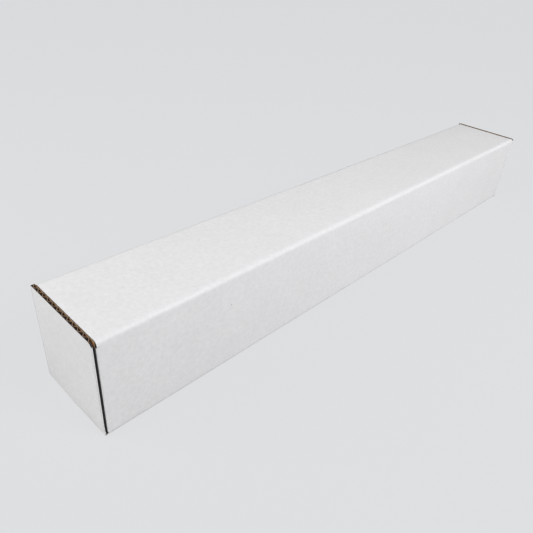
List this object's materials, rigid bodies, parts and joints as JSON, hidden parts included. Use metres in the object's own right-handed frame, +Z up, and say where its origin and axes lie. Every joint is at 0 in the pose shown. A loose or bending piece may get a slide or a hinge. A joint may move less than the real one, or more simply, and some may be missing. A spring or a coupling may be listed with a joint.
{
  "type": "square cardboard mailing tube",
  "caption": "Long square mailing tube of white corrugated board, lying on one side, closed at each end by a hinged outer flap over folded dust flaps.",
  "frame": {"origin": "centre of the bottom panel's underside, midway between the two ends", "axes": "+Y along the tube from the near end to the far end, +X to the right as seen from the near end, +Z up"},
  "size_m": [0.0826, 0.648, 0.088],
  "materials": {
    "shell_board": "matt white liner outside, brown kraft inside and on cut edges",
    "flap_board": "matt white liner outside, brown kraft inside and on cut edges"
  },
  "bodies": {
    "shell": {"tube_shell": "shell_board"},
    "near_flap": {"near_end_flap": "flap_board"},
    "far_flap": {"far_end_flap": "flap_board"}
  },
  "joints": [
    {"name": "near_flap_crease", "type": "hinge", "parent": "shell", "child": "near_flap", "pos_m": [0, -0.3224, 0.0016], "axis": [1, 0, 0], "range_deg": [0, 90]},
    {"name": "far_flap_crease", "type": "hinge", "parent": "shell", "child": "far_flap", "pos_m": [0, 0.3224, 0.0016], "axis": [-1, 0, 0], "range_deg": [0, 90]}
  ]
}
